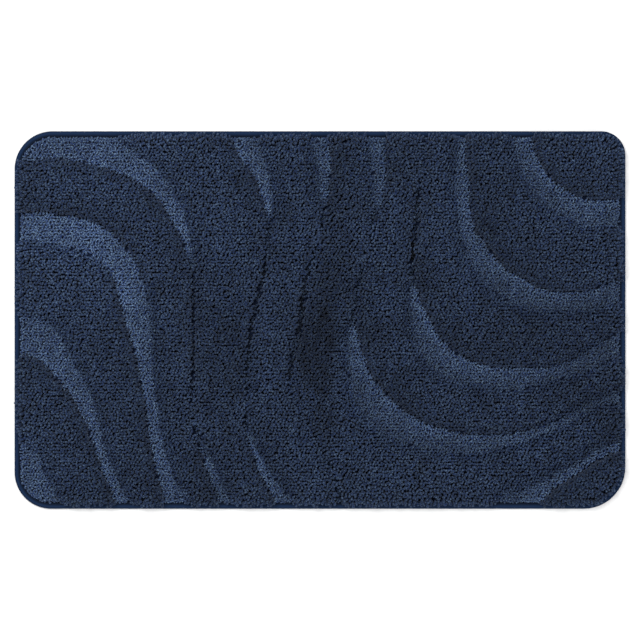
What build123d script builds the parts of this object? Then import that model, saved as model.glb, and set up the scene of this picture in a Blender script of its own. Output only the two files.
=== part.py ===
"""Tufted bath mat with a sculpted wave pattern, a taped edge and a rubber underside.

Sizes are in millimetres. The origin is on the floor under the middle of the mat, +X runs along its
long side, +Y across it and +Z up, with the pile on top. Each wave is one closed solid of pile.
"""

import os
from math import hypot

from build123d import *

# Overall size, over the binding
LENGTH = 805.0
WIDTH = 497.5

# Radius of each corner, anticlockwise from the one at +X, +Y
CORNERS = ((1, 1), (-1, 1), (-1, -1), (1, -1))
CORNER_RADII = (32.0, 50.0, 48.0, 55.0)

# Layers, from the floor up
BACKING_THICKNESS = 1.8
PRECOAT_THICKNESS = 0.5
CLOTH_THICKNESS = 0.7
LOW_PILE = 7.5
RAISED_PILE = 17.0
PRESSED_PILE = 2.4

# Binding tape, folded over the edge, with each flange measured in from the outer edge
TAPE_THICKNESS = 0.6
TAPE_FLOOR_GAP = 0.4
TOP_FLANGE = 8.2
UNDER_FLANGE = 11.0

# Seam through the tape, a margin in from the end of its top flange
SEAM_MARGIN = 1.6
STITCH_PITCH = 4.2
STITCH_LENGTH = 3.3
NEEDLE_THREAD = 0.45
BOBBIN_THREAD = 0.35

# Blank care label, caught under the tape near one corner of the underside
LABEL_WIDTH = 24.0
LABEL_LENGTH = 46.0
LABEL_THICKNESS = 0.4
LABEL_CAUGHT = 6.0
LABEL_FROM_MIDDLE = 300.0

# Clearances
LAYER_EDGE_CLEARANCE = 0.2
LABEL_CLEARANCE = 0.3
PILE_TO_TAPE = 0.8
PILE_OVER_THREAD = 0.15
WAVE_CLEARANCE = 0.3
REBATE_CLEARANCE = 0.3

# How far in from the mat's outer edge the raised pile that leans over the tape ends
OVERHANG_INSET = 1.8

# Heights worked out from the layers
backing_top = BACKING_THICKNESS
precoat_top = backing_top + PRECOAT_THICKNESS
cloth_top = precoat_top + CLOTH_THICKNESS
low_top = cloth_top + LOW_PILE
raised_top = cloth_top + RAISED_PILE
pressed_top = cloth_top + PRESSED_PILE
under_flange_top = TAPE_FLOOR_GAP + TAPE_THICKNESS
tape_top = pressed_top + TAPE_THICKNESS
ledge_bottom = tape_top + NEEDLE_THREAD + PILE_OVER_THREAD

# Insets from the outer edge worked out from the fold of the tape
fold_radius = (tape_top - TAPE_FLOOR_GAP) / 2
layer_inset = fold_radius + LAYER_EDGE_CLEARANCE
pile_inset = TOP_FLANGE + PILE_TO_TAPE

# The low waves run across the mat from edge to edge. Each is a list of stations along its middle line:
# x, y and the width there. The first and last stations lie outside the mat, so that a wave ends at its
# edge. Widths shrink to a slit where two raised waves close over the low one. The stations are drawn for
# a mat of the drawn size, and their places spread with the mat's own size.
DRAWN_LENGTH = 805.0
DRAWN_WIDTH = 497.5
LOW_WAVES = [
    [(-440, -183, 60), (-409, -188, 60), (-394, -198, 58), (-386, -214, 56), (-376, -236, 56),
     (-362, -264, 56)],
    [(-425, -20, 52), (-390, -22, 50), (-361, -32, 45), (-340, -60, 33), (-322, -86, 26), (-308, -112, 21),
     (-298, -140, 16), (-289, -170, 14), (-279, -198, 14), (-268, -222, 16), (-255, -262, 22)],
    [(-425, 122, 38), (-360, 121, 40), (-320, 114, 43), (-285, 98, 40), (-262, 74, 35), (-250, 44, 36),
     (-241, 5, 35), (-234, -35, 25), (-228, -75, 18), (-222, -110, 17), (-218, -145, 18), (-211, -180, 18),
     (-201, -212, 21), (-182, -262, 30)],
    [(-440, 235, 60), (-380, 236, 52), (-320, 234, 50), (-272, 217, 42), (-235, 196, 30), (-203, 164, 22),
     (-184, 128, 16), (-172, 92, 11), (-167, 60, 4), (-166, 0, 3), (-167, -60, 3), (-169, -110, 3),
     (-163, -145, 5), (-152, -174, 9), (-141, -202, 12), (-118, -262, 16)],
    [(-106, 264, 40), (-97, 240, 37), (-86, 212, 30), (-76, 188, 21), (-69, 160, 13), (-66, 130, 8),
     (-68, 105, 5), (-74, 62, 3), (-81, 32, 3.5), (-90, -8, 3.5), (-95, -50, 3), (-97, -95, 3.5),
     (-96, -130, 6), (-92, -155, 9), (-84, -176, 10), (-74, -198, 11), (-61, -220, 16), (-36, -264, 30)],
    [(-5, 264, 32), (-1, 240, 26), (5, 212, 19), (6, 185, 15), (5, 155, 9), (2, 125, 6), (-6, 98, 4),
     (-14, 70, 5), (-20, 45, 5), (-26, -5, 6), (-32, -33, 6), (-38, -60, 5), (-40, -84, 4), (-34, -108, 3.5),
     (-20, -131, 3.5), (-4, -151, 5), (8, -175, 5), (18, -202, 6), (26, -262, 9)],
    [(73, 264, 30), (75, 240, 24), (77, 215, 19), (79, 190, 17), (78, 165, 13), (74, 143, 8), (68, 122, 5),
     (60, 97, 4), (54, 70, 4), (50, 45, 5), (45, 18, 5), (43, -7, 9), (45, -32, 17), (49, -58, 25),
     (57, -86, 34), (73, -112, 41), (100, -136, 41), (135, -152, 34), (175, -161, 31), (215, -163, 24),
     (250, -158, 19), (285, -148, 14), (318, -135, 12), (345, -120, 12), (369, -107, 12), (395, -101, 15),
     (430, -97, 17)],
    [(143, 264, 10), (139, 235, 7), (134, 205, 5), (130, 175, 4), (127, 145, 4), (125, 118, 5), (123, 95, 5),
     (121, 70, 5), (121, 48, 8), (124, 28, 14), (130, 6, 22), (138, -17, 28), (152, -42, 35), (176, -61, 34),
     (206, -71, 29), (240, -78, 32), (273, -75, 28), (305, -70, 20), (335, -62, 23), (361, -49, 26),
     (387, -35, 29), (430, -22, 32)],
    [(187, 264, 12), (187, 238, 10), (187, 212, 13), (187, 188, 19), (188, 160, 20), (191, 132, 18),
     (198, 108, 22), (209, 86, 29), (227, 62, 34), (253, 42, 35), (286, 27, 31), (320, 24, 24), (352, 26, 26),
     (383, 35, 28), (430, 45, 30)],
    [(258, 266, 36), (266, 240, 26), (271, 215, 24), (283, 190, 28), (302, 168, 31), (328, 151, 33),
     (356, 142, 34), (387, 142, 33), (430, 150, 30)],
    [(430, -158, 18), (398, -166, 15), (375, -173, 12), (352, -186, 13), (328, -201, 15), (303, -216, 17),
     (284, -229, 24), (264, -244, 38), (240, -266, 50)],
]


def mat_outline(inset):
    """The mat's rounded outline, drawn smaller by an inset all round, added to the sketch that is open."""
    with BuildSketch() as outline:
        Rectangle(LENGTH - 2 * inset, WIDTH - 2 * inset)
        for (x, y), radius in zip(CORNERS, CORNER_RADII):
            corner = outline.vertices().sort_by_distance((x * LENGTH, y * WIDTH))[0]
            fillet(corner, radius - inset)
    return add(outline.sketch)


def wave_edge(stations, side, trim):
    """Points along one edge of a low wave, half its width from each station, less a trim."""
    spread = [(x * LENGTH / DRAWN_LENGTH, y * WIDTH / DRAWN_WIDTH, width) for x, y, width in stations]
    points = []
    for number, (x, y, width) in enumerate(spread):
        x_before, y_before, _ = spread[max(number - 1, 0)]
        x_after, y_after, _ = spread[min(number + 1, len(spread) - 1)]
        run = hypot(x_after - x_before, y_after - y_before)
        reach = side * (width / 2 - trim) / run
        points.append((x - reach * (y_after - y_before), y + reach * (x_after - x_before)))
    return points


def wave_plan(stations, trim=0.0):
    """The plan of one low wave between its two smooth edges."""
    with BuildSketch() as plan:
        with BuildLine():
            left = Spline(*wave_edge(stations, 1, trim))
            right = Spline(*wave_edge(stations, -1, trim))
            Line(left @ 0, right @ 0)
            Line(left @ 1, right @ 1)
        make_face()
    return plan.sketch


def finish_piece(builder, name):
    """Labels a finished piece and writes its file."""
    builder.part.label = name
    export_step(builder.part, f"parts/{name}.step")


os.makedirs("parts", exist_ok=True)

# Rubber backing: a sheet with a rebate all round for the tape and a pocket for the label
label_y = -WIDTH / 2 + UNDER_FLANGE - LABEL_CAUGHT + LABEL_LENGTH / 2
label_top = under_flange_top + LABEL_THICKNESS
rebate_inset = UNDER_FLANGE + REBATE_CLEARANCE

with BuildPart() as backing:
    with BuildSketch(Plane.XY):
        mat_outline(rebate_inset)
    extrude(amount=under_flange_top)
    with BuildSketch(Plane.XY.offset(under_flange_top)):
        mat_outline(layer_inset)
    extrude(amount=backing_top - under_flange_top)
    with BuildSketch(Plane.XY):
        with Locations((LABEL_FROM_MIDDLE, label_y)):
            Rectangle(LABEL_WIDTH + 2 * LABEL_CLEARANCE, LABEL_LENGTH + 2 * LABEL_CLEARANCE)
    extrude(amount=label_top, mode=Mode.SUBTRACT)
finish_piece(backing, "anti_slip_backing")

with BuildPart() as precoat:
    with BuildSketch(Plane.XY.offset(backing_top)):
        mat_outline(layer_inset)
    extrude(amount=PRECOAT_THICKNESS)
finish_piece(precoat, "latex_precoat")

with BuildPart() as cloth:
    with BuildSketch(Plane.XY.offset(precoat_top)):
        mat_outline(layer_inset)
    extrude(amount=CLOTH_THICKNESS)
finish_piece(cloth, "primary_cloth")

# The rim of the pile, pressed flat under the tape's upper flange
with BuildPart() as pressed_edge:
    with BuildSketch(Plane.XY.offset(cloth_top)):
        mat_outline(layer_inset)
        with BuildSketch(mode=Mode.SUBTRACT):
            mat_outline(pile_inset - WAVE_CLEARANCE)
    extrude(amount=PRESSED_PILE)
finish_piece(pressed_edge, "pressed_pile_edge")

# Binding tape: a U-shaped section with a round fold, carried round the mat's outline
with BuildSketch() as rim_plan:
    mat_outline(0)
rim = rim_plan.sketch.face().outer_wire()
rim_start = rim.position_at(0)
rim_direction = rim.tangent_at(0)
inward = Vector(0, 0, 1).cross(rim_direction)
if inward.dot(rim_start) > 0:
    rim_direction = -rim_direction
    inward = -inward
fold_height = TAPE_FLOOR_GAP + fold_radius

with BuildPart() as tape:
    with BuildSketch(Plane(origin=rim_start, x_dir=inward, z_dir=rim_direction)):
        with BuildLine():
            Line((UNDER_FLANGE, TAPE_FLOOR_GAP), (fold_radius, TAPE_FLOOR_GAP))
            ThreePointArc((fold_radius, TAPE_FLOOR_GAP), (0, fold_height), (fold_radius, tape_top))
            Line((fold_radius, tape_top), (TOP_FLANGE, tape_top))
            Line((TOP_FLANGE, tape_top), (TOP_FLANGE, pressed_top))
            Line((TOP_FLANGE, pressed_top), (fold_radius, pressed_top))
            ThreePointArc((fold_radius, pressed_top), (TAPE_THICKNESS, fold_height),
                          (fold_radius, under_flange_top))
            Line((fold_radius, under_flange_top), (UNDER_FLANGE, under_flange_top))
            Line((UNDER_FLANGE, under_flange_top), (UNDER_FLANGE, TAPE_FLOOR_GAP))
        make_face()
    sweep(path=rim)
finish_piece(tape, "binding_tape")

# Seam: a row of needle-thread stitches on the tape and of bobbin-thread stitches under it
with BuildSketch() as seam_plan:
    mat_outline(TOP_FLANGE - SEAM_MARGIN)
seam = seam_plan.sketch.face().outer_wire()
stitch_count = round(seam.length / STITCH_PITCH)
seams = [
    ("needle_stitches", NEEDLE_THREAD, tape_top + NEEDLE_THREAD / 2),
    ("bobbin_stitches", BOBBIN_THREAD, TAPE_FLOOR_GAP - BOBBIN_THREAD / 2),
]
for name, thread, height in seams:
    row = seam.moved(Location((0, 0, height)))
    places = [row.location_at((number + 0.5) / stitch_count) for number in range(stitch_count)]
    with BuildPart() as stitches:
        with Locations(*places):
            Cylinder(thread / 2, STITCH_LENGTH)
    finish_piece(stitches, name)

with BuildPart() as label:
    with BuildSketch(Plane.XY.offset(under_flange_top)):
        with Locations((LABEL_FROM_MIDDLE, label_y)):
            Rectangle(LABEL_WIDTH, LABEL_LENGTH)
    extrude(amount=LABEL_THICKNESS)
finish_piece(label, "care_label")

# Low waves of loop pile
for number, stations in enumerate(LOW_WAVES, start=1):
    with BuildPart() as low_wave:
        with BuildSketch(Plane.XY.offset(cloth_top)):
            mat_outline(pile_inset)
            add(wave_plan(stations, WAVE_CLEARANCE), mode=Mode.INTERSECT)
        extrude(amount=LOW_PILE)
    finish_piece(low_wave, f"low_wave_{number:02d}")

# Raised waves of cut pile: what the low waves leave of the mat, leaning out over the tape at the edge
with BuildSketch() as raised_plan:
    mat_outline(OVERHANG_INSET)
    for stations in LOW_WAVES:
        add(wave_plan(stations), mode=Mode.SUBTRACT)

for number, region in enumerate(raised_plan.sketch.faces().sort_by(Axis.X), start=1):
    with BuildPart() as raised_wave:
        with BuildSketch(Plane.XY.offset(cloth_top)):
            mat_outline(pile_inset)
            add(region, mode=Mode.INTERSECT)
        extrude(amount=ledge_bottom - cloth_top)
        with BuildSketch(Plane.XY.offset(ledge_bottom)):
            add(region)
        extrude(amount=raised_top - ledge_bottom)
    finish_piece(raised_wave, f"raised_wave_{number:02d}")
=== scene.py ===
"""Looks of a tufted bath mat: raised and low waves of single yarns, a taped edge and a rubber underside."""

import math

import bpy
import numpy as np
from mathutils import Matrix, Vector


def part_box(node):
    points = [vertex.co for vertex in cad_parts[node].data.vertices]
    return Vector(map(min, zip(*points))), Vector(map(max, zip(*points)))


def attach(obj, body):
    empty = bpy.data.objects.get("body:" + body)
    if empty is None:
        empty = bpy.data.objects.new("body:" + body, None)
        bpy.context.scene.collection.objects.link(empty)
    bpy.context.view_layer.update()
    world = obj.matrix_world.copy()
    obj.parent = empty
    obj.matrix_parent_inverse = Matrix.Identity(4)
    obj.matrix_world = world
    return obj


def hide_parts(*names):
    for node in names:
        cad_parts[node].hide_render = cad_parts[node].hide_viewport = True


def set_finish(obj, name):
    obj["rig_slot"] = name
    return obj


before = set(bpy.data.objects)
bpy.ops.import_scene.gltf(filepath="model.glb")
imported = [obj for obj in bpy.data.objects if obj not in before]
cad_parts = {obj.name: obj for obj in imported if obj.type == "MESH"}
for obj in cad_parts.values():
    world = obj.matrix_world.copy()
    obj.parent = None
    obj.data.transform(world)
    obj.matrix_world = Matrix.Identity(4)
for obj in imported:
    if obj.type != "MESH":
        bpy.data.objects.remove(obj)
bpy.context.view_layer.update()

bl_info = {
    "name": "Tufted Wave Bath Mat",
    "version": (1, 0, 0),
    "blender": (4, 5, 0),
    "location": "3D View > Sidebar > Bath Mat",
    "description": "Builds the pile, binding and layers of a tufted bath mat around its packed model",
    "category": "Add Mesh",
}

MM = 0.001
BODY = "root"
RAISED_WAVES = sorted(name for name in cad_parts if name.startswith("raised_wave"))
LOW_WAVES = sorted(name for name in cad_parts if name.startswith("low_wave"))

# The way the pile is combed at each low wave, as an angle in degrees from +X. The raised pile stands steep
# where it is combed away from a low wave, and slopes down where it is combed into it.
COMBED = {
    "low_wave_01": 240,
    "low_wave_02": 212,
    "low_wave_03": 75,
    "low_wave_04": 220,
    "low_wave_05": 180,
    "low_wave_06": 0,
    "low_wave_07": 45,
    "low_wave_08": 45,
    "low_wave_09": 45,
    "low_wave_10": 45,
    "low_wave_11": 294,
}
# Below this height across the mat, in mm, one low wave is combed another way, at this angle.
TURNED = {"low_wave_03": (50, 190)}
# These low waves get painted light over their whole width. The others get most painted light beside their
# steep wall.
EVENLY_PAINTED_LIGHT = ("low_wave_01", "low_wave_02", "low_wave_03", "low_wave_04")

# Patches of painted light and shade, where the pile's nap leans towards or away from the light: middle, half
# length and half width in mm, how sharply the patch ends, and the change of tone.
PAINTED_LIGHT_PATCHES = [
    (-335, 0, 110, 260, 3, 0.06),
    (-290, 130, 130, 130, 3, 0.09),
    (-345, 98, 75, 32, 4, 0.32),
    (-276, 45, 34, 40, 2, 0.36),
    (-370, 20, 34, 34, 2, 0.10),
    (-285, 200, 80, 34, 2, 0.12),
    (-385, -205, 30, 45, 2, 0.14),
    (-172, 125, 24, 40, 2, 0.16),
    (-120, 123, 46, 36, 2, 0.12),
    (170, 145, 24, 46, 2, 0.18),
    (350, 138, 52, 22, 3, 0.16),
    (-4, -35, 27, 62, 6, -0.52),
    (16, 45, 27, 55, 4, -0.38),
    (30, 165, 21, 72, 4, -0.22),
    (5, -130, 18, 50, 4, -0.30),
    (137, 60, 16, 27, 6, -0.28),
    (85, -13, 44, 24, 3, -0.20),
    (100, -88, 45, 24, 3, -0.18),
    (-125, -50, 34, 75, 3, -0.30),
    (225, 145, 34, 70, 3, -0.20),
    (275, 75, 34, 34, 2, -0.14),
    (280, -15, 110, 40, 4, -0.24),
    (345, -92, 45, 30, 3, -0.28),
    (380, -140, 22, 36, 2, -0.28),
    (335, -218, 55, 22, 3, -0.12),
    (-290, -20, 30, 34, 2, -0.14),
    (-152, -220, 32, 20, 2, -0.16),
    (-265, -222, 28, 18, 2, -0.16),
    (-192, 68, 16, 34, 2, -0.14),
    (107, 205, 17, 28, 3, -0.06),
    (-30, -100, 22, 40, 3, -0.14),
    (-95, 215, 70, 22, 3, 0.12),
    (-275, 178, 28, 18, 3, 0.22),
    (-205, 225, 50, 18, 3, 0.14),
    (380, 228, 30, 18, 3, 0.22),
    (290, -160, 55, 34, 3, 0.10),
    (95, 135, 36, 30, 3, 0.10),
    (-128, -225, 22, 18, 3, -0.18),
]

# Where the narrow slits between raised waves stand open: middle and reach along the slit in mm. Elsewhere
# the pile closes over them.
PARTINGS = [
    (-165, -24, 82),
    (-86, 18, 66),
    (-28, -8, 78),
    (126, 122, 56),
]


def linear(code):
    """A linear colour from an sRGB hex code."""
    shares = [int(code[place:place + 2], 16) / 255 for place in (1, 3, 5)]
    return tuple(s / 12.92 if s <= 0.04045 else ((s + 0.055) / 1.055) ** 2.4 for s in shares)


def size_property(name, description, default):
    """A size in mm, or a number without a unit, for the panel."""
    return bpy.props.FloatProperty(name=name, description=description, default=default)


def colour_property(name, description, code):
    """A colour for the panel, from an sRGB hex code."""
    return bpy.props.FloatVectorProperty(
        name=name, description=description, subtype="COLOR", default=linear(code))


def millimetres(node):
    """The lowest and highest corner of a CAD node, in mm."""
    return [np.array(corner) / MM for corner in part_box(node)]


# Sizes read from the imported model, in mm
outer_low, outer_high = millimetres("binding_tape")
HALF_LENGTH, HALF_WIDTH = (outer_high - outer_low)[:2] / 2
CLOTH_LOW, CLOTH_TOP = (corner[2] for corner in millimetres("primary_cloth"))
LOW_TOP = millimetres("low_wave_03")[1][2]
RAISED_TOP = millimetres("raised_wave_03")[1][2]
TAPE_LOW, TAPE_TOP = outer_low[2], outer_high[2]
PRESSED_TOP = millimetres("pressed_pile_edge")[1][2]
BACKING_TOP = millimetres("anti_slip_backing")[1][2]
LAYER_INSET = HALF_LENGTH - millimetres("primary_cloth")[1][0]
label_low, label_high = millimetres("care_label")
LABEL_TOP = label_high[2]
PILE_INSET = 9.0
# Insets between which the rubber's skin slopes up from its level part to the tape
LEVEL_INSET, TAPE_SIDE_INSET = 22.0, 11.3


# ---------------------------------------------------------------- properties


class PileSettings(bpy.types.PropertyGroup):
    """The yarns of the raised and low waves."""

    row_pitch: size_property("Row pitch", "Distance between rows of tufts, in mm", 4.17)
    stitch_pitch: size_property("Stitch pitch", "Distance between tufts in a row, in mm", 4.5)
    yarn_radius: size_property("Cut yarn radius", "Radius of a cut yarn before it fans out, in mm", 1.02)
    loop_radius: size_property("Loop yarn radius", "Radius of the yarn in a loop, in mm", 1.12)
    end_spread: size_property("End spread", "Distance between the two yarns of a stitch, in mm", 2.6)
    bend: bpy.props.FloatProperty(
        name="Bend", description="How far a cut yarn bends over at its tip", default=math.radians(24),
        subtype="ANGLE")
    # The yarn is dyed the same all along: the root colours are painted shade deep in the pile, and the tip and
    # loop colours are lighter than the yarn for painted highlights on its locks.
    cut_tip: colour_property("Cut tip colour", "Yarn colour at a cut tip", "#47586a")
    cut_root_shade: colour_property("Cut root colour", "Yarn colour deep in the cut pile", "#121f3f")
    loop_top: colour_property("Loop colour", "Yarn colour at the top of a loop", "#6e869a")
    loop_root_shade: colour_property("Loop root colour", "Yarn colour deep between the loops", "#192954")


class TrimSettings(bpy.types.PropertyGroup):
    """The binding tape, its seam and the label."""

    tape_thickness: size_property("Tape thickness", "Thickness of the tape, in mm", 0.6)
    top_width: size_property("Width on top", "How far the tape reaches in over the pile, in mm", 8.2)
    under_width: size_property("Width underneath", "How far the tape reaches in under the mat, in mm", 11.0)
    seam_inset: size_property("Seam inset", "Distance of the seam from the mat's edge, in mm", 6.6)
    stitches: bpy.props.IntProperty(name="Stitches", description="Number of stitches in the seam", default=591)
    stitch_length: size_property("Stitch length", "Length of thread that shows in a stitch, in mm", 3.3)
    corner_radii: bpy.props.FloatVectorProperty(
        name="Corner radii", description="Radius of each corner in mm, anticlockwise from +X and +Y",
        size=4, default=(32.0, 50.0, 48.0, 55.0))
    tape_colour: colour_property("Tape colour", "Colour of the woven tape", "#0d1e37")
    thread_colour: colour_property("Thread colour", "Colour of the sewing thread", "#0d1e37")
    label_colour: colour_property("Label colour", "Colour of the satin label", "#e9e7e0")


class UndersideSettings(bpy.types.PropertyGroup):
    """The rubber backing and the layers inside."""

    dot_pitch: size_property("Dot pitch", "Distance between the grip dots, in mm", 12.0)
    dot_radius: size_property("Dot radius", "Radius of a grip dot, in mm", 1.9)
    dot_height: size_property("Dot height", "How far the grip dots stand out of the rubber, in mm", 0.5)
    rubber_colour: colour_property("Rubber colour", "Colour of the rubber backing", "#6d737c")
    cloth_colour: colour_property("Cloth colour", "Colour of the woven cloth", "#1c2740")
    latex_colour: colour_property("Latex colour", "Colour of the latex coat", "#d9d2bd")


class StageSettings(bpy.types.PropertyGroup):
    """Floor, lights and camera."""

    frame_width: bpy.props.FloatProperty(
        name="View width", description="Width of floor that the camera sees", default=0.844, unit="LENGTH")
    lens: size_property("Lens", "Focal length in mm", 200.0)
    floor_colour: colour_property("Floor colour", "Colour of the plain floor", "#fafafa")


def skin_height(inset):
    """Height of the rubber's skin at an inset from the mat's edge, in mm: level, and rising over the last few
    millimetres to let the tape and the label in."""
    dots = bpy.context.scene.bath_mat_underside.dot_height
    return dots + (LABEL_TOP - dots) * (1 - smooth(inset, TAPE_SIDE_INSET, LEVEL_INSET))


# ---------------------------------------------------------------- making meshes


# The steps to the four corners of a face, in the order that they are joined
SQUARE = ((0, 0), (1, 0), (1, 1), (0, 1))


def new_piece(name, slot, nodes, points, faces, material, uv=(), **numbers):
    """Puts whole arrays into a mesh: points in mm, faces as arrays of four or three point numbers, with a
    matching array of UV places if there is one, and a number for each point under each further name. The
    piece goes on its body, with its slot and the CAD nodes that it stands for."""
    mesh = bpy.data.meshes.new(name)
    corners = np.concatenate([group.reshape(-1) for group in faces])
    sizes = np.concatenate([np.full(len(group), group.shape[1]) for group in faces])
    mesh.vertices.add(len(points))
    mesh.vertices.foreach_set("co", (points * MM).astype(np.float32).reshape(-1))
    mesh.loops.add(len(corners))
    mesh.loops.foreach_set("vertex_index", corners.astype(np.int32))
    mesh.polygons.add(len(sizes))
    mesh.polygons.foreach_set("loop_start", (np.cumsum(sizes) - sizes).astype(np.int32))
    mesh.polygons.foreach_set("use_smooth", np.ones(len(sizes), bool))
    mesh.update(calc_edges=True)
    if uv:
        layer = mesh.uv_layers.new(name="OFBake")
        places = np.concatenate([group.reshape(-1, 2) for group in uv])
        layer.data.foreach_set("uv", places.astype(np.float32).reshape(-1))
    for label, values in numbers.items():
        attribute = mesh.attributes.new(label, "FLOAT", "POINT")
        attribute.data.foreach_set("value", values.astype(np.float32))
    mesh.materials.append(material)
    piece = bpy.data.objects.new(name, mesh)
    bpy.context.scene.collection.objects.link(piece)
    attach(piece, BODY)
    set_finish(piece, slot)
    if nodes:
        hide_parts(*nodes)
    return piece


def grid(rows, columns):
    """The row and the column number of every place in a grid."""
    return np.meshgrid(np.arange(rows), np.arange(columns), indexing="ij")


def unit(angle):
    """The unit vector in the plane at each angle."""
    return np.stack([np.cos(angle), np.sin(angle)], axis=-1)


def ring_faces(rings, around):
    """Faces between rings of points that each close on themselves, and a fan at each end that closes in one
    point. The points are numbered ring by ring, and then come the first end's point and the last one's."""
    ring, turn = grid(rings - 1, around)
    after = (turn + 1) % around
    quads = np.stack([ring * around + turn, ring * around + after, (ring + 1) * around + after,
                      (ring + 1) * around + turn], axis=-1).reshape(-1, 4)
    turn, after, last = turn[0], after[0], (rings - 1) * around
    first_fan = np.stack([after, turn, np.full(around, rings * around)], axis=-1)
    last_fan = np.stack([last + turn, last + after, np.full(around, rings * around + 1)], axis=-1)
    return quads, np.concatenate([first_fan, last_fan])


def corner_places(x, y, steps):
    """The map places of the corners of many faces: the place of each face plus the step to each corner."""
    corners = [np.stack(np.broadcast_arrays(x + a, y + b), axis=-1) for a, b in steps]
    corners = np.stack(corners, axis=-2)
    return corners.reshape(-1, len(steps), 2)


def many_tubes(spine, across, over, wide, thick, sides):
    """Closed tubes, all worked out at once. A point is the spine's point plus across times wide times the
    cosine of its angle plus over times thick times the sine, and each end closes in one point. spine, across
    and over are arrays of tube, ring and coordinate; wide and thick are arrays of tube and ring. Returns
    points, faces, UV places with a cell of its own for each tube, and the number of points in a tube."""
    tubes, rings, _ = spine.shape
    angle = np.arange(sides) * 2 * np.pi / sides
    ring = (spine[:, :, None]
            + across[:, :, None] * (wide[:, :, None] * np.cos(angle))[..., None]
            + over[:, :, None] * (thick[:, :, None] * np.sin(angle))[..., None])
    each = rings * sides + 2
    points = np.concatenate([ring.reshape(tubes, -1, 3), spine[:, :1], spine[:, -1:]], axis=1)
    start = np.arange(tubes)[:, None, None] * each
    faces = [(start + group).reshape(-1, group.shape[1]) for group in ring_faces(rings, sides)]

    columns = math.ceil(math.sqrt(tubes))
    cell = np.stack([np.arange(tubes) % columns, np.arange(tubes) // columns], axis=-1)
    step, turn = grid(rings - 1, sides)
    quads = corner_places(turn, step + 1, SQUARE)
    first_fan = corner_places(turn[0], 0, ((1, 1), (0, 1), (0.5, 0)))
    last_fan = corner_places(turn[0], rings, ((0, 0), (1, 0), (0.5, 1)))
    margin = 0.03
    maps = quads, np.concatenate([first_fan, last_fan])
    uv = [(cell[:, None, None] + margin + (1 - 2 * margin) * group / [sides, rings + 1])
          .reshape(-1, group.shape[1], 2) / columns for group in maps]
    return points.reshape(-1, 3), faces, uv, each


def outline(inset, count):
    """Points spaced evenly round the mat's rounded outline at an inset from its edge, going anticlockwise,
    and the unit vectors that point inwards there: quarter circles, each followed by a straight run."""
    radius = np.array(bpy.context.scene.bath_mat_trim.corner_radii) - inset
    centre = np.array([(1, 1), (-1, 1), (-1, -1), (1, -1)]) * (
        np.array([HALF_LENGTH, HALF_WIDTH]) - inset - radius[:, None])
    straight = np.abs(np.roll(centre, -1, axis=0) - centre)[[0, 1, 2, 3], [0, 1, 0, 1]]
    runs = np.stack([radius * np.pi / 2, straight], axis=-1).reshape(-1)
    ends = np.cumsum(runs)
    along = (np.arange(count) + 0.5) / count * ends[-1]
    run = np.searchsorted(ends, along)
    rest = along - (ends - runs)[run]
    corner, on_arc = run // 2, run % 2 == 0
    angle = (corner + np.where(on_arc, rest / (radius[corner] * np.pi / 2), 1)) * np.pi / 2
    outward = unit(angle)
    ahead = np.stack([-outward[:, 1], outward[:, 0]], axis=-1) * np.where(on_arc, 0, rest)[:, None]
    return centre[corner] + outward * radius[corner, None] + ahead, -outward


def folded_strip(section, count, ripple):
    """A closed section carried round the mat's outline. The section is an array of inset and height. A point
    is the outline's point, plus the inset along the inward vector, and the height plus the ripple for its
    place along the outline and in the section."""
    places, inward = outline(0.0, count)
    around, along = grid(count, len(section))
    flat = places[:, None] + inward[:, None] * section[None, :, :1]
    points = np.concatenate([flat, (section[:, 1] + ripple)[..., None]], axis=-1).reshape(-1, 3)
    next_around, next_along = (around + 1) % count, (along + 1) % len(section)
    corners = ((around, along), (next_around, along), (next_around, next_along), (around, next_along))
    faces = np.stack([a * len(section) + b for a, b in corners], axis=-1).reshape(-1, 4)
    return points, [faces], [corner_places(around, along, SQUARE) / [count, len(section)]]


def filled_sheet(profile, around, across):
    """A closed sheet with the mat's outline. The profile is an array of inset and height that runs from the
    underside round the rim to the top; each of its points is carried round the outline. Inside the first and
    the last of these rings, rings that shrink towards the centre fill the flat, each side's middle closing in
    one point."""
    places, inward = outline(0.0, around)
    rings = np.concatenate([places[None] + inward[None] * profile[:, :1, None],
                            np.broadcast_to(profile[:, 1:, None], (len(profile), around, 1))], axis=-1)
    share = (np.arange(1, across) / across)[:, None, None]
    shrink = np.concatenate([share, share, np.ones_like(share)], axis=-1)
    rings = np.concatenate([rings[:1] * shrink, rings, rings[-1:] * shrink[::-1]])
    middles = [[0, 0, profile[0, 1]], [0, 0, profile[-1, 1]]]
    return np.concatenate([rings.reshape(-1, 3), middles]), ring_faces(len(rings), around)


def half_round(inset, low, high):
    """Inset and height round a sheet's edge, from its underside to its top: half a circle."""
    turn = np.linspace(-np.pi / 2, np.pi / 2, 7)
    half = (high - low) / 2
    return np.stack([inset + half - half * np.cos(turn), low + half + half * np.sin(turn)], axis=-1)


# ---------------------------------------------------------------- reading the waves from the model


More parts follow.
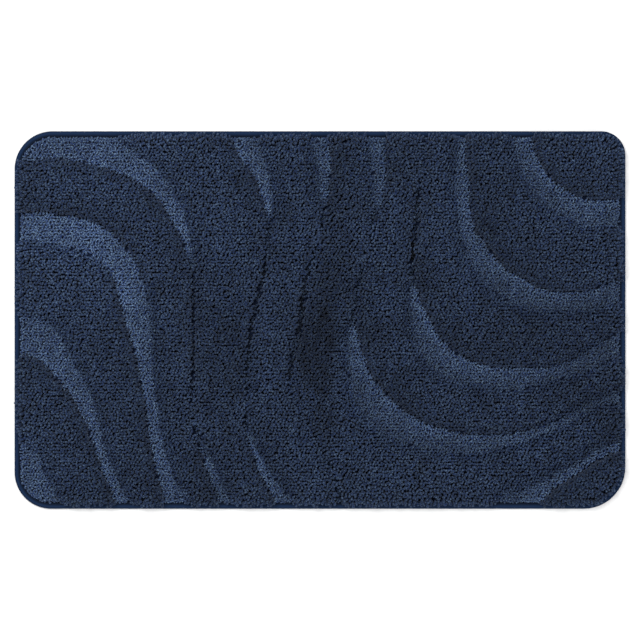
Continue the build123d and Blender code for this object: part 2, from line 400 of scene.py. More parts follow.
def walls(name):
    """The upright walls of a wave's CAD solid, in mm: both ends of each wall's top edge, going so that the
    solid is on the left, and the unit vector that points out of the solid."""
    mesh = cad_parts[name].data
    points = np.empty(len(mesh.vertices) * 3, np.float32)
    mesh.vertices.foreach_get("co", points)
    points = points.reshape(-1, 3).astype(float) / MM
    mesh.calc_loop_triangles()
    corners = np.empty(len(mesh.loop_triangles) * 3, np.int32)
    mesh.loop_triangles.foreach_get("vertices", corners)
    triangles = points[corners.reshape(-1, 3)]
    normal = np.cross(triangles[:, 1] - triangles[:, 0], triangles[:, 2] - triangles[:, 0])
    normal /= np.maximum(np.linalg.norm(normal, axis=1), 1e-9)[:, None]
    at_top = triangles[..., 2] > points[:, 2].max() - 0.05
    chosen = (np.abs(normal[:, 2]) < 0.2) & (at_top.sum(axis=1) == 2)
    triangles, at_top, normal = triangles[chosen], at_top[chosen], normal[chosen]
    edge = triangles[at_top].reshape(-1, 2, 3)[..., :2]
    outward = normal[:, :2] / np.linalg.norm(normal[:, :2], axis=1)[:, None]
    return edge[:, 0], edge[:, 1], outward


def inside(places, name):
    """Whether each place lies inside a wave's outline: the outline's edges cross the line to the right of an
    inside place an odd number of times."""
    starts, ends, _ = walls(name)
    x, y = places[:, :1], places[:, 1:]
    spans = (starts[:, 1] > y) != (ends[:, 1] > y)
    rise = np.where(np.abs(ends[:, 1] - starts[:, 1]) < 1e-9, 1e-9, ends[:, 1] - starts[:, 1])
    at = starts[:, 0] + (ends[:, 0] - starts[:, 0]) * (y - starts[:, 1]) / rise
    return (spans & (x < at)).sum(axis=1) % 2 == 1


def past_corner(places):
    """The radius of the corner nearest each place, and how far the place lies past the start of the corner's
    curve each way, in mm."""
    radii = np.array(bpy.context.scene.bath_mat_trim.corner_radii)
    right, top = places[:, 0] > 0, places[:, 1] > 0
    radius = radii[np.where(top, np.where(right, 0, 1), np.where(right, 3, 2))]
    return radius, np.abs(places) - [HALF_LENGTH, HALF_WIDTH] + radius[:, None]


def edge_distance(places):
    """How far in each place lies from the mat's outer edge: the distance to a rounded rectangle."""
    radius, beyond = past_corner(places)
    return radius - np.linalg.norm(np.maximum(beyond, 0), axis=1) - np.minimum(beyond.max(axis=1), 0)


def nearest_wall(places, low_walls):
    """What the low waves' walls ask of the pile at each place: the distance to the nearest wall; how steep
    the raised pile stands there, from one where it is combed away from the wall to minus one where it is
    combed over it; how narrow the low wave is there, and whether it stands open as a parting; the way that
    wall faces; and how deep the place lies in a steep wall's painted shadow, which fades with the distance
    and also sets the painted light on the low wave beside that wall."""
    starts, ends, outward, combed, opening = low_walls
    middle = (starts + ends) / 2
    narrow = 1 - smooth(opening, 5, 11)
    parted = np.max([np.exp(-(np.linalg.norm(middle - [x, y], axis=1) / reach) ** 6)
                     for x, y, reach in PARTINGS], axis=0)
    opened = parted * narrow * (0.8 + 0.2 * soft_noise(middle, 9, 8))
    # A wide low wave follows the combing. The pile closes over a narrow one, and stands apart at a parting.
    leaning = (outward * combed).sum(axis=1)
    closed_over, set_apart = -1.2, 0.9
    steep = leaning + (closed_over + (set_apart - closed_over) * parted - leaning) * narrow
    shaded = np.maximum(steep, 0) * (1 - 0.5 * narrow)
    shadow_reach = 16 - 9 * narrow
    run = ends - starts
    found = []
    for part in np.array_split(places, max(1, len(places) // 1500)):
        offset = part[:, None] - starts
        share = np.clip((offset * run).sum(-1) / np.maximum((run * run).sum(-1), 1e-9), 0, 1)
        away = np.linalg.norm(offset - share[..., None] * run, axis=-1)
        pick = away.argmin(axis=1)
        shadow = (shaded * np.exp(-away / shadow_reach)).max(axis=1)
        found.append((away.min(axis=1), steep[pick], narrow[pick], opened[pick], outward[pick], shadow))
    return [np.concatenate(group) for group in zip(*found)]


def read_low_walls():
    """The walls of every low wave that stand against raised pile, with the way its wave is combed and how far
    the opposite wall is."""
    found = []
    for name in LOW_WAVES:
        starts, ends, outward = walls(name)
        inner = np.minimum(edge_distance(starts), edge_distance(ends)) > PILE_INSET + 0.4
        starts, ends, outward = starts[inner], ends[inner], outward[inner]
        middle = (starts + ends) / 2
        apart = np.linalg.norm(middle[:, None] - middle[None], axis=-1)
        facing = outward @ outward.T
        opening = np.where(facing < -0.4, apart, 99.0).min(axis=1)
        below, turned = TURNED.get(name, (0, COMBED[name]))
        combed = unit(np.radians(np.where(middle[:, 1] < below, turned, COMBED[name])))
        found.append((starts, ends, outward, combed, opening))
    return [np.concatenate(group) for group in zip(*found)]


def smooth(value, low, high):
    """Nought at low, one at high, and a smooth step between."""
    share = np.clip((value - low) / (high - low), 0, 1)
    return share * share * (3 - 2 * share)


def soft_noise(places, size, seed):
    """A smooth random field with patches about as large as size, in mm: a sum of cosine waves of random
    direction and phase, with a spread of about one."""
    draw = np.random.default_rng(seed)
    count = 28
    angle, phase = draw.uniform(0, 2 * np.pi, (2, count))
    pitch = np.pi / size * draw.uniform(0.6, 1.4, count)
    waves = places[:, :1] * np.cos(angle) * pitch + places[:, 1:] * np.sin(angle) * pitch + phase
    return np.cos(waves).sum(axis=1) * math.sqrt(2 / count)


def patch_tone(places):
    """How much painted light or shade the pile gets at each place: one, plus a soft hump for each patch and a
    fine and a broad mottling."""
    tone = 1 + 0.06 * soft_noise(places, 11, 4) + 0.05 * soft_noise(places, 32, 5)
    for x, y, half_x, half_y, edge, change in PAINTED_LIGHT_PATCHES:
        away = np.hypot((places[:, 0] - x) / half_x, (places[:, 1] - y) / half_y)
        tone += change * np.exp(-(away ** edge))
    return tone


# ---------------------------------------------------------------- the pile


def stitch_places():
    """Where every tuft is stitched: rows along X with every other row set over by half a stitch, small
    errors of place, and one row of its own close round the rim."""
    pile = bpy.context.scene.bath_mat_pile
    rows = math.ceil(2 * HALF_WIDTH / pile.row_pitch)
    stitches = math.ceil(2 * HALF_LENGTH / pile.stitch_pitch)
    row, stitch = grid(rows, stitches)
    x = (stitch - stitches / 2 + 0.5 * (row % 2)) * pile.stitch_pitch
    y = (row - rows / 2 + 0.5) * pile.row_pitch
    places = np.stack([x, y], axis=-1).reshape(-1, 2)
    error = 0.3
    places = places + np.random.default_rng(11).normal(0, error, places.shape)
    rim_inset, keep_off, rim_stitches = PILE_INSET + 1.3, PILE_INSET + 3.6, 612
    around, _ = outline(rim_inset, rim_stitches)
    return np.concatenate([places[edge_distance(places) > keep_off], around])


def both_yarns(places, draw):
    """The places of both yarns of each stitch, half the spread to each side of it, at a random turn."""
    mean_turn, spread = 0.58, bpy.context.scene.bath_mat_pile.end_spread
    apart = unit(draw.normal(mean_turn, 0.5, len(places))) * spread / 2
    return np.concatenate([places + apart, places - apart])


def bent_spines(roots, height, bend, ease, way, curl, steps):
    """Yarns that rise from their roots and bend over. The angle from upright grows as the share of length
    to the power ease, up to bend; the way it leans turns by curl from root to tip; each ring's place is the
    sum of the steps before it, and the whole is sized so that the last ring stands at the height. Returns the
    spine and the two vectors across it."""
    share = np.asarray(steps)[None]
    middle = np.concatenate([share[:, :1], (share[:, 1:] + share[:, :-1]) / 2], axis=1)
    stride = np.diff(share, axis=1, prepend=0.0)

    def heading(at):
        tilt = bend[:, None] * at ** ease[:, None]
        turn = way[:, None] + curl[:, None] * (at - 0.5)
        return np.concatenate([np.sin(tilt)[..., None] * unit(turn), np.cos(tilt)[..., None]], axis=-1), turn

    rise = np.cumsum(heading(middle)[0] * stride[..., None], axis=1)
    spine = roots[:, None] + rise * (height / rise[:, -1, 2])[:, None, None]
    forward, turn = heading(share)
    across = np.stack([-np.sin(turn), np.cos(turn), np.zeros_like(turn)], axis=-1)
    return spine, across, np.cross(forward, across)


def cut_tufts(name, node, places, low_walls, material, seed):
    """Part of a raised wave: the two cut yarns of each stitch in it, bent over, and as long as their place in
    the wave asks. The pile rises from each low wave, in a short way on its steep side and a long way on the
    other, and it is shorter and bent outwards along the rim."""
    pile = bpy.context.scene.bath_mat_pile
    draw = np.random.default_rng(seed)
    places = both_yarns(places, draw)
    count = len(places)
    wall, steep, narrow, opened, facing, shadow = nearest_wall(places, low_walls)
    past_rim = edge_distance(places) - PILE_INSET

    low, full = LOW_TOP - CLOTH_TOP, RAISED_TOP - CLOTH_TOP
    steep_rise, soft_rise = 5, 22
    rise = steep_rise + (soft_rise - steep_rise) * (0.5 - 0.5 * steep)
    foot = low + (full - low) * np.maximum(smooth(steep, -0.2, 1.0) * 0.62, narrow * (1 - 0.85 * opened))
    height = foot + (full - foot) * smooth(wall, 0, rise)
    rim_drop = 1 - 0.22 * np.exp(-(past_rim / 5) ** 2)
    height = height * rim_drop * (1 + 0.015 * soft_noise(places, 16, 1)) * draw.uniform(0.93, 1.0, count)

    near_wall, near_rim = np.exp(-wall / 9), np.exp(-past_rim / 6)
    lean = facing * (np.clip(steep, -1.2, 1) * near_wall * 1.1)[:, None]
    lean = lean * (1 - near_rim)[:, None] - inward_of(places) * (1.5 * near_rim)[:, None]
    lean = lean + draw.normal(0, 0.4, (count, 2)) * (1 - 0.3 * near_rim)[:, None]
    way = np.arctan2(lean[:, 1], lean[:, 0])
    strength = np.clip(np.linalg.norm(lean, axis=1), 0.3, 1.7)
    bend = np.clip(pile.bend * strength * (1 + 0.75 * near_rim), 0.1, 1.3)
    curl = draw.normal(0, 0.9, count)

    # The yarn fans out towards its cut tip, which is a low cone.
    steps, shape, sides = (0.0, 0.55, 0.88, 0.97), (1.3, 1.6, 1.68, 1.3), 5
    roots = np.column_stack([places, np.full(count, CLOTH_TOP)])
    spine, across, over = bent_spines(roots, height, bend, 1.7 - 0.6 * near_rim, way, curl, steps)
    wide = (pile.yarn_radius * draw.uniform(0.86, 1.12, count))[:, None] * shape
    points, faces, uv, each = many_tubes(spine, across, over, wide, wide, sides)
    points = points.reshape(count, each, 3)
    points[:, -1] = spine[:, -1] + (spine[:, -1] - spine[:, -2]) * 0.25
    share = np.concatenate([np.repeat(steps, sides), [0.0, 1.0]])
    # Painted light and shade on the pile: the patches, and a painted shadow beside each steep wall, times a
    # random tone for each yarn.
    tone = patch_tone(places) * (0.98 - 0.44 * shadow) * draw.normal(1, 0.15, count)
    new_piece(name, "cut_pile", [node], points.reshape(-1, 3), faces, material, uv,
              height_share=np.tile(share, count), tone=np.repeat(tone, each))


def inward_of(places):
    """The unit vector from each place towards the inside of the mat, across the nearest edge."""
    _, beyond = past_corner(places)
    outside = np.maximum(beyond, 0)
    straight = np.where(beyond[:, :1] > beyond[:, 1:], [[1.0, 0.0]], [[0.0, 1.0]])
    size = np.linalg.norm(outside, axis=1)[:, None]
    direction = np.where(size > 1e-6, outside / np.maximum(size, 1e-6), straight)
    return -direction * np.sign(places)


def loop_tufts(node, places, low_walls, material, even_painted_light, seed):
    """One low wave: two plies of a looped yarn for each stitch in it. A ply is an arch, half an ellipse from
    foot to foot with its feet in the cloth, and the plies stand side by side, each turned its own way. The
    last flag says that the wave gets painted light over its whole width; otherwise the painted light is
    strongest beside its steep wall."""
    pile = bpy.context.scene.bath_mat_pile
    draw = np.random.default_rng(seed)
    places = both_yarns(places, draw)
    count = len(places)
    ahead = unit(draw.uniform(0, np.pi, count))
    reach = pile.stitch_pitch * 0.27 * draw.uniform(0.85, 1.15, count)
    radius = pile.loop_radius * draw.uniform(0.9, 1.1, count)
    height = (LOW_TOP - CLOTH_TOP - radius) * draw.uniform(0.84, 1.0, count)
    rings, sides = 5, 5
    turn = np.linspace(0, np.pi, rings)[None]
    forward = -np.cos(turn) * reach[:, None]
    up = np.sin(turn) ** 0.75 * height[:, None]
    lean = draw.normal(0, 0.5, (count, 2))
    flat = places[:, None] + ahead[:, None] * forward[..., None]
    flat = flat + lean[:, None] * (up / height[:, None])[..., None]
    spine = np.concatenate([flat, (CLOTH_TOP + up)[..., None]], axis=-1)
    along = np.gradient(spine, axis=1)
    along /= np.linalg.norm(along, axis=-1)[..., None]
    across = np.column_stack([-ahead[:, 1], ahead[:, 0], np.zeros(count)])[:, None]
    across = across - (across * along).sum(-1, keepdims=True) * along
    across /= np.linalg.norm(across, axis=-1)[..., None]
    wide = radius[:, None] * (1.35 - 0.35 * np.sin(turn))
    points, faces, uv, each = many_tubes(spine, across, np.cross(along, across), wide, wide, sides)
    share = np.concatenate([np.repeat(np.sin(turn[0]), sides), [0.0, 0.0]])
    _, _, _, opened, _, shadow = nearest_wall(places, low_walls)
    # Painted light, strongest beside a steep wall, and painted shade down in an open parting, times the
    # patches and a random tone for each ply.
    light = 0.78 + 0.3 * shadow if even_painted_light else 0.5 + 0.76 * shadow
    tone = patch_tone(places) * light * (1 - 0.9 * opened) * draw.normal(1, 0.1, count)
    new_piece(node + "_loops", "loop_pile", [node], points, faces, material, uv,
              height_share=np.tile(share, count), tone=np.repeat(tone, each))


# ---------------------------------------------------------------- materials


def add_node(material, kind, inputs=(), **settings):
    """Adds a shader node to a material, with its settings, and for each named input a value, an output to
    link, or a node, which links by the first of its outputs in use."""
    tree = material.node_tree
    made = tree.nodes.new("ShaderNode" + kind)
    for name, value in settings.items():
        setattr(made, name, value)
    for name, value in dict(inputs).items():
        if isinstance(value, bpy.types.Node):
            value = next(output for output in value.outputs if output.enabled)
        if isinstance(value, bpy.types.NodeSocket):
            tree.links.new(value, made.inputs[name])
        else:
            made.inputs[name].default_value = value
    return made


def blank_material(name):
    """A material without nodes."""
    material = bpy.data.materials.new(name)
    material.use_nodes = True
    material.node_tree.nodes.clear()
    return material


def finish_material(material, inputs):
    """Adds the shader with its inputs, and the output that it goes to."""
    add_node(material, "OutputMaterial", {"Surface": add_node(material, "BsdfPrincipled", inputs)})
    return material


def with_alpha(colour, share=1.0):
    """A colour made lighter or darker by a share, with its alpha."""
    return (*(part * share for part in colour), 1.0)


def yarn_material(name, root, top, sheen):
    """Solution-dyed microfibre yarn, textured and heat set: dull fine hairs with a soft bloom along the edges
    of each yarn, dyed the same all along. Painted shade darkens it towards its root and painted highlights
    lighten its locks, and each yarn is a little lighter or darker than the next, at random and by the painted
    light and shade of its tone."""
    material = blank_material(name)
    share = add_node(material, "Attribute", attribute_name="height_share").outputs["Fac"]
    tone = add_node(material, "Attribute", attribute_name="tone").outputs["Fac"]
    place = add_node(material, "TexCoord").outputs["Object"]
    # Single fibres are finer than the eye can tell from here, so the hairs are drawn as small locks of fibres.
    lock_mm = 1.2
    hairs = add_node(material, "TexNoise", {"Vector": place, "Scale": 1 / (lock_mm * MM), "Detail": 2.0})
    # Painted shade towards the root colour deep in the pile, and painted highlights where the locks mix in the
    # top colour.
    depth = add_node(material, "MapRange", {"Value": share, "From Min": 0.1, "From Max": 0.75, "To Min": 0.55})
    locks = add_node(material, "MapRange", {"Value": hairs, "From Min": 0.48, "From Max": 0.64})
    both = add_node(material, "Math", {0: depth, 1: locks}, operation="MULTIPLY")
    body = add_node(material, "Mix", {"Factor": both, "A": with_alpha(root), "B": with_alpha(top)},
                    data_type="RGBA")
    colour = add_node(material, "VectorMath", {0: body, "Scale": tone}, operation="SCALE")
    bump = add_node(material, "Bump", {"Height": hairs, "Strength": 0.6, "Distance": 0.25 * MM})
    return finish_material(material, {
        "Base Color": colour, "Roughness": 0.82, "Normal": bump, "Specular IOR Level": 0.05,
        "Sheen Weight": sheen, "Sheen Roughness": 0.45, "Sheen Tint": (0.6, 0.72, 1.0, 1.0)})


def woven_material(name, colour, thread_mm, roughness, sheen, mapped=None):
    """Woven polyester: flat threads over and under each other in a plain weave, which catch the light as a
    fine check. Mapped holds the size in mm that the piece's own map spans each way, where the weave follows
    the piece."""
    material = blank_material(name)
    place = add_node(material, "TexCoord").outputs
    parts = add_node(material, "SeparateXYZ", {"Vector": place["UV" if mapped else "Object"]}).outputs
    waves = []
    for axis, span in zip(("X", "Y"), mapped or (1 / MM, 1 / MM)):
        scaled = add_node(material, "Math", {0: parts[axis], 1: math.pi * span / thread_mm},
                          operation="MULTIPLY")
        waves.append(add_node(material, "Math", {0: scaled}, operation="SINE"))
    weave = add_node(material, "Math", {0: waves[0], 1: waves[1]}, operation="MULTIPLY")
    uneven = add_node(material, "TexNoise",
                      {"Vector": place["Object"], "Scale": 1 / (3 * thread_mm * MM), "Detail": 3.0})
    relief = add_node(material, "Math", {0: weave, 1: uneven}, operation="ADD")
    tint = add_node(material, "MapRange", {"Value": relief, "From Min": -0.5, "From Max": 1.5})
    shade = add_node(material, "Mix", {"Factor": tint, "A": with_alpha(colour, 0.72),
                                       "B": with_alpha(colour, 1.3)}, data_type="RGBA")
    if mapped:
        # For the tape, this attribute paints a highlight on the fold and shade on the flat beside the pile.
        tone = add_node(material, "Attribute", attribute_name="tone").outputs["Fac"]
        shade = add_node(material, "VectorMath", {0: shade, "Scale": tone}, operation="SCALE")
    bump = add_node(material, "Bump", {"Height": relief, "Strength": 0.5, "Distance": 0.12 * MM})
    return finish_material(material, {
        "Base Color": shade, "Roughness": roughness, "Normal": bump, "Specular IOR Level": 0.08,
        "Sheen Weight": sheen, "Sheen Roughness": 0.4})


def rubber_material(name, colour, grain_mm, roughness):
    """Sprayed or brushed rubber: matt to satin, with a fine uneven skin and faint cloudy marks."""
    material = blank_material(name)
    place = add_node(material, "TexCoord").outputs["Object"]
    skin = add_node(material, "TexNoise", {"Vector": place, "Scale": 1 / (grain_mm * MM), "Detail": 4.0})
    cloud = add_node(material, "TexNoise", {"Vector": place, "Scale": 1 / (60 * MM), "Detail": 2.0})
    marks = add_node(material, "Math", {0: skin, 1: cloud}, operation="ADD")
    tint = add_node(material, "MapRange", {"Value": marks, "From Min": 0.6, "From Max": 1.4})
    shade = add_node(material, "Mix", {"Factor": tint, "A": with_alpha(colour, 0.84),
                                       "B": with_alpha(colour, 1.12)}, data_type="RGBA")
    bump = add_node(material, "Bump", {"Height": skin, "Strength": 0.5, "Distance": 0.15 * MM})
    return finish_material(material, {
        "Base Color": shade, "Roughness": roughness, "Normal": bump, "IOR": 1.52})


# ---------------------------------------------------------------- operators


class BATHMAT_OT_raised_waves(bpy.types.Operator):
    """Tufts every raised wave with bent, cut yarns"""

    bl_idname = "bath_mat.raised_waves"
    bl_label = "Raised waves"

    def execute(self, context):
        pile = context.scene.bath_mat_pile
        material = yarn_material("cut_microfibre_yarn", pile.cut_root_shade, pile.cut_tip, 0.2)
        places = stitch_places()
        low_walls = read_low_walls()
        most = 2400
        for number, name in enumerate(RAISED_WAVES):
            chosen = places[inside(places, name)]
            chosen = chosen[chosen[:, 0].argsort()]
            for part, some in enumerate(np.array_split(chosen, math.ceil(len(chosen) / most))):
                cut_tufts(f"{name}_pile_{part + 1}", name, some, low_walls, material,
                          seed=100 + 100 * number + 10 * part)
        return {"FINISHED"}


class BATHMAT_OT_low_waves(bpy.types.Operator):
    """Tufts every low wave with loops of yarn"""

    bl_idname = "bath_mat.low_waves"
    bl_label = "Low waves"

    def execute(self, context):
        pile = context.scene.bath_mat_pile
        material = yarn_material("looped_microfibre_yarn", pile.loop_root_shade, pile.loop_top, 0.2)
        places = stitch_places()
        low_walls = read_low_walls()
        for number, name in enumerate(LOW_WAVES):
            loop_tufts(name, places[inside(places, name)], low_walls, material, name in EVENLY_PAINTED_LIGHT,
                       seed=2000 + 10 * number)
        return {"FINISHED"}


class BATHMAT_OT_pressed_edge(bpy.types.Operator):
    """Lays down the short pile that the tape holds flat"""

    bl_idname = "bath_mat.pressed_edge"
    bl_label = "Pressed edge"

    def execute(self, context):
        count = context.scene.bath_mat_trim.stitches
        pile = context.scene.bath_mat_pile
        places, inward = outline(0.0, count)
        rings, half_width, tucked = 3, 2.0, 0.4
        half_height = (PRESSED_TOP - CLOTH_TOP) / 2
        inset = np.linspace(PILE_INSET - tucked, LAYER_INSET, rings)
        flat = places[:, None] + inward[:, None] * inset[None, :, None]
        spine = np.concatenate([flat, np.full((count, rings, 1), CLOTH_TOP + half_height)], axis=-1)
        across = np.column_stack([inward[:, 1], -inward[:, 0], np.zeros(count)])[:, None].repeat(rings, axis=1)
        over = np.broadcast_to([0.0, 0.0, 1.0], across.shape)
        wide = np.full((count, rings), half_width) * [0.8, 1.0, 0.8]
        thick = np.full((count, rings), half_height)
        points, faces, uv, each = many_tubes(spine, across, over, wide, thick, 5)
        material = yarn_material("pressed_microfibre_yarn", pile.cut_root_shade, pile.cut_tip, 0.2)
        tone = np.random.default_rng(7).normal(1, 0.1, count)
        new_piece("pressed_edge_pile", "cut_pile", ["pressed_pile_edge"], points, faces, material, uv,
                  height_share=np.full(len(points), 0.6), tone=np.repeat(tone, each))
        return {"FINISHED"}


class BATHMAT_OT_binding_tape(bpy.types.Operator):
    """Folds the woven tape round the edge, drawn in a little at each stitch of its seam"""

    bl_idname = "bath_mat.binding_tape"
    bl_label = "Binding tape"

    def execute(self, context):
        trim = context.scene.bath_mat_trim
        thick = trim.tape_thickness
        fold = (TAPE_TOP - TAPE_LOW) / 2
        middle = TAPE_LOW + fold
        turn = np.linspace(-np.pi / 2, np.pi / 2, 7)
        outer = np.stack([fold - fold * np.cos(turn), middle + fold * np.sin(turn)], axis=-1)
        inner = np.stack([fold - (fold - thick) * np.cos(turn), middle + (fold - thick) * np.sin(turn)],
                         axis=-1)[::-1]
        on_top = np.array([3.4, 4.2, 5.2, trim.seam_inset, 7.4, trim.top_width - thick / 2])
        underneath = np.array([trim.under_width - thick / 2, 8.0, trim.seam_inset, 5.0])
        section = np.concatenate([
            np.column_stack([underneath, np.full(4, TAPE_LOW)]),
            outer,
            np.column_stack([on_top, np.full(6, TAPE_TOP)]),
            [[trim.top_width, TAPE_TOP - thick / 2]],
            np.column_stack([on_top, np.full(6, TAPE_TOP - thick)])[::-1],
            inner,
            np.column_stack([underneath, np.full(4, TAPE_LOW + thick)])[::-1],
            [[trim.under_width, TAPE_LOW + thick / 2]],
        ])
        count = trim.stitches * 2
        places, _ = outline(0.0, count)
        inset, height = section[:, 0], section[:, 1]
        side = np.where(height > middle, 1.0, -1.0) * smooth(inset, 1.0, 4.5)
        near_seam = np.exp(-((inset - trim.seam_inset) / 0.9) ** 2)
        pucker = 0.1 * np.cos(np.arange(count) * np.pi)[:, None]
        wave = 0.12 * soft_noise(places, 14, 3)[:, None]
        ripple = side * ((pucker - 0.2) * near_seam + wave * (height > middle))
        points, faces, uv = folded_strip(section, count, ripple)
        around = 4 * (HALF_LENGTH + HALF_WIDTH) - (2 - math.pi / 2) * sum(trim.corner_radii)
        material = woven_material("woven_polyester_tape", trim.tape_colour, thread_mm=0.55, roughness=0.7,
                                  sheen=0.0, mapped=(around, 2 * (trim.top_width + trim.under_width)))
        # The fold stands up in the light, and the flat beside the pile lies in its shade.
        tone = 1.15 + 0.4 * np.exp(-((inset - 3.4) / 0.6) ** 2) - 0.85 * smooth(inset, 3.4, 7.0)
        piece = new_piece("folded_binding_tape", "binding_tape", ["binding_tape"], points, faces, material, uv,
                          tone=np.tile(tone, count))
        return {"FINISHED"}


class BATHMAT_OT_seam(bpy.types.Operator):
    """Sews the seam of the tape, with a stitch of thread above and one below each time"""

    bl_idname = "bath_mat.seam"
    bl_label = "Seam"

    def execute(self, context):
        trim = context.scene.bath_mat_trim
        places, inward = outline(trim.seam_inset, trim.stitches)
        flat_inward = np.column_stack([inward, np.zeros(len(inward))])
        tangent = np.column_stack([inward[:, 1], -inward[:, 0], np.zeros(len(inward))])
        material = yarn_material("twisted_polyester_thread", trim.thread_colour, trim.thread_colour, 0.1)
        share, shape = np.array([-0.5, -0.25, 0.25, 0.5]), [0.6, 1.0, 1.0, 0.6]
        for name, node, level, way in (("needle_thread", "needle_stitches", TAPE_TOP, 1),
                                       ("bobbin_thread", "bobbin_stitches", TAPE_LOW, -1)):
            low, high = millimetres(node)
            radius = (high[2] - low[2]) / 2
            spine = np.repeat(np.column_stack([places, np.full(len(places), level)])[:, None], 4, axis=1)
            spine = spine + tangent[:, None] * (share * trim.stitch_length)[:, None]
            # A stitch bulges in its middle and dips into the tape at both ends.
            spine[..., 2] += way * radius * (1.9 * np.cos(share * np.pi) - 0.9)
            along, across = (vector[:, None].repeat(4, axis=1) for vector in (tangent, flat_inward))
            wide = np.full((len(places), 4), radius) * shape
            points, faces, uv, _ = many_tubes(spine, across, np.cross(along, across), wide, wide, 5)
            ones = np.ones(len(points))
            new_piece(name, "sewing_thread", [node], points, faces, material, uv, height_share=ones, tone=ones)
        return {"FINISHED"}


class BATHMAT_OT_primary_cloth(bpy.types.Operator):
    """Lays the woven cloth that the pile is tufted into"""

    bl_idname = "bath_mat.primary_cloth"
    bl_label = "Primary cloth"

    def execute(self, context):
        colour = context.scene.bath_mat_underside.cloth_colour
        points, faces = filled_sheet(half_round(LAYER_INSET, CLOTH_LOW, CLOTH_TOP), around=300, across=12)
        material = woven_material("woven_polypropylene_cloth", colour, thread_mm=1.1, roughness=0.8, sheen=0.0)
        piece = new_piece("woven_primary_cloth", "woven_cloth", ["primary_cloth"], points, faces, material)
        return {"FINISHED"}


class BATHMAT_OT_backing(bpy.types.Operator):
    """Spreads the latex coat and the rubber underside with its grip dots"""

    bl_idname = "bath_mat.backing"
    bl_label = "Backing"

    def execute(self, context):
        settings = context.scene.bath_mat_underside
        points, faces = filled_sheet(half_round(LAYER_INSET, BACKING_TOP, CLOTH_LOW), around=300, across=6)
        material = rubber_material("spread_latex", settings.latex_colour, grain_mm=2.0, roughness=0.55)
        new_piece("latex_coat", "latex", ["latex_precoat"], points, faces, material)

        slope = np.linspace(LEVEL_INSET + 2.0, TAPE_SIDE_INSET, 9)
        rim = half_round(LAYER_INSET, LABEL_TOP, BACKING_TOP)
        profile = np.concatenate([np.column_stack([slope, skin_height(slope)]), rim])
        points, faces = filled_sheet(profile, around=300, across=12)
        material = rubber_material("sprayed_rubber", settings.rubber_colour, grain_mm=1.2, roughness=0.7)
        new_piece("rubber_underside", "rubber_backing", ["anti_slip_backing"], points, faces, material)

        pitch, skin = settings.dot_pitch, settings.dot_height
        rows, columns = round(HALF_WIDTH * 2 / pitch), round(HALF_LENGTH * 2 / pitch)
        row, column = grid(rows, columns)
        x = (column - columns / 2 + 0.25 + 0.5 * (row % 2)) * pitch
        places = np.stack([x, (row - rows / 2 + 0.5) * pitch], axis=-1).reshape(-1, 2)
        room = settings.dot_radius + 1.0
        on_label = ((places > label_low[:2] - room) & (places < label_high[:2] + room)).all(axis=1)
        places = places[(edge_distance(places) > LEVEL_INSET + room) & ~on_label]
        # A dot starts inside the rubber and rounds off towards the floor.
        sunk, levels, shape = 0.2, 3, [1.0, 0.9, 0.45]
        spine = np.repeat(np.column_stack([places, np.zeros(len(places))])[:, None], levels, axis=1)
        spine[..., 2] = [skin + sunk, skin * 0.45, 0.0]
        across = np.broadcast_to([1.0, 0.0, 0.0], spine.shape)
        over = np.broadcast_to([0.0, -1.0, 0.0], spine.shape)
        wide = np.full((len(places), levels), settings.dot_radius) * shape
        points, faces, uv, _ = many_tubes(spine, across, over, wide, wide, 6)
        new_piece("grip_dots", "rubber_backing", [], points, faces, material, uv)
        return {"FINISHED"}


class BATHMAT_OT_care_label(bpy.types.Operator):
    """Lays the blank satin label that the tape holds at one end"""

    bl_idname = "bath_mat.care_label"
    bl_label = "Care label"

    def execute(self, context):
        colour = context.scene.bath_mat_trim.label_colour
        thick, columns, rows = 0.3, 9, 47
        x, y = np.meshgrid(np.linspace(label_low[0], label_high[0], columns),
                           np.linspace(label_low[1], label_high[1], rows), indexing="ij")
        # It lies against the rubber's skin, and stands off it a little more beyond the tape.
        inset = y + HALF_WIDTH
        z = skin_height(inset) - thick / 2 - 0.06 - 0.06 * smooth(inset, 30, 55)
        points = np.stack([x, y, z], axis=-1).reshape(-1, 3)
        column, row = grid(columns - 1, rows - 1)
        faces = np.stack([(column + b) * rows + row + a for a, b in SQUARE], axis=-1).reshape(-1, 4)
        material = woven_material("satin_label_tape", colour, thread_mm=0.25, roughness=0.35, sheen=0.3)
        piece = new_piece("satin_label", "satin_label", ["care_label"], points, [faces], material)
        wall = piece.modifiers.new("thickness", "SOLIDIFY")
        wall.thickness = thick * MM
        wall.offset = 0.0
        return {"FINISHED"}


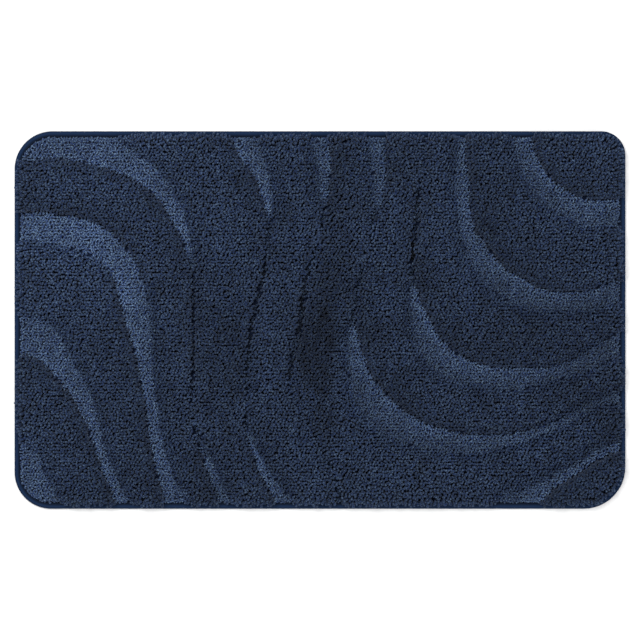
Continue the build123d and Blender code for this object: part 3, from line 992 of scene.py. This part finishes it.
class BATHMAT_OT_stage(bpy.types.Operator):
    """Sets the floor, the soft lights and the camera straight above the mat"""

    bl_idname = "bath_mat.stage"
    bl_label = "Stage"

    def execute(self, context):
        stage = context.scene.bath_mat_stage
        material = finish_material(blank_material("plain_matt_floor"),
                                   {"Base Color": with_alpha(stage.floor_colour), "Roughness": 0.9})
        half = 4.0
        mesh = bpy.data.meshes.new("floor")
        mesh.from_pydata([(-half, -half, 0), (half, -half, 0), (half, half, 0), (-half, half, 0)], [],
                         [(0, 1, 2, 3)])
        mesh.materials.append(material)
        floor = bpy.data.objects.new("floor", mesh)
        context.scene.collection.objects.link(floor)

        world = bpy.data.worlds.new("soft_studio")
        world.use_nodes = True
        world.node_tree.nodes["Background"].inputs["Color"].default_value = (1.0, 1.0, 1.0, 1.0)
        world.node_tree.nodes["Background"].inputs["Strength"].default_value = 0.8
        context.scene.world = world
        for name, place, size, watts in (("key_light", (-0.75, 0.8, 2.0), 1.2, 31.0),
                                         ("fill_light", (1.8, -1.2, 2.4), 2.0, 25.0)):
            lamp = bpy.data.lights.new(name, "AREA")
            lamp.size = size
            lamp.energy = watts
            light = bpy.data.objects.new(name, lamp)
            light.location = place
            light.rotation_euler = (-light.location).to_track_quat("-Z", "Y").to_euler()
            context.scene.collection.objects.link(light)

        lens = bpy.data.cameras.new("camera")
        lens.lens = stage.lens
        lens.sensor_width = 36.0
        camera = bpy.data.objects.new("camera", lens)
        camera.location = (0.0, 0.0, stage.frame_width * stage.lens / lens.sensor_width)
        context.scene.collection.objects.link(camera)
        context.scene.camera = camera
        context.scene.view_settings.view_transform = "Standard"
        return {"FINISHED"}


class BATHMAT_PT_panel(bpy.types.Panel):
    """Lists the sizes and colours, and a button for each group of pieces"""

    bl_label = "Bath mat"
    bl_idname = "BATHMAT_PT_panel"
    bl_space_type = "VIEW_3D"
    bl_region_type = "UI"
    bl_category = "Bath Mat"

    def draw(self, context):
        for label, group in GROUPS.items():
            box = self.layout.box()
            box.label(text=label.replace("_", " "))
            settings = getattr(context.scene, label)
            for name in group.__annotations__:
                box.prop(settings, name)
        for operator in OPERATORS:
            self.layout.operator(operator.bl_idname)


GROUPS = {
    "bath_mat_pile": PileSettings,
    "bath_mat_trim": TrimSettings,
    "bath_mat_underside": UndersideSettings,
    "bath_mat_stage": StageSettings,
}
OPERATORS = (
    BATHMAT_OT_raised_waves,
    BATHMAT_OT_low_waves,
    BATHMAT_OT_pressed_edge,
    BATHMAT_OT_primary_cloth,
    BATHMAT_OT_seam,
    BATHMAT_OT_binding_tape,
    BATHMAT_OT_backing,
    BATHMAT_OT_care_label,
    BATHMAT_OT_stage,
)


def register():
    """Registers every class and puts the settings on the scene."""
    for made in (*GROUPS.values(), *OPERATORS, BATHMAT_PT_panel):
        bpy.utils.register_class(made)
    for label, group in GROUPS.items():
        setattr(bpy.types.Scene, label, bpy.props.PointerProperty(type=group))


def unregister():
    """Takes the settings off the scene and unregisters every class."""
    for label in GROUPS:
        delattr(bpy.types.Scene, label)
    for made in reversed((*GROUPS.values(), *OPERATORS, BATHMAT_PT_panel)):
        bpy.utils.unregister_class(made)


def main():
    """Builds every piece and the stage."""
    register()
    for operator in OPERATORS:
        group, name = operator.bl_idname.split(".")
        getattr(getattr(bpy.ops, group), name)()


if __name__ == "__main__":
    main()
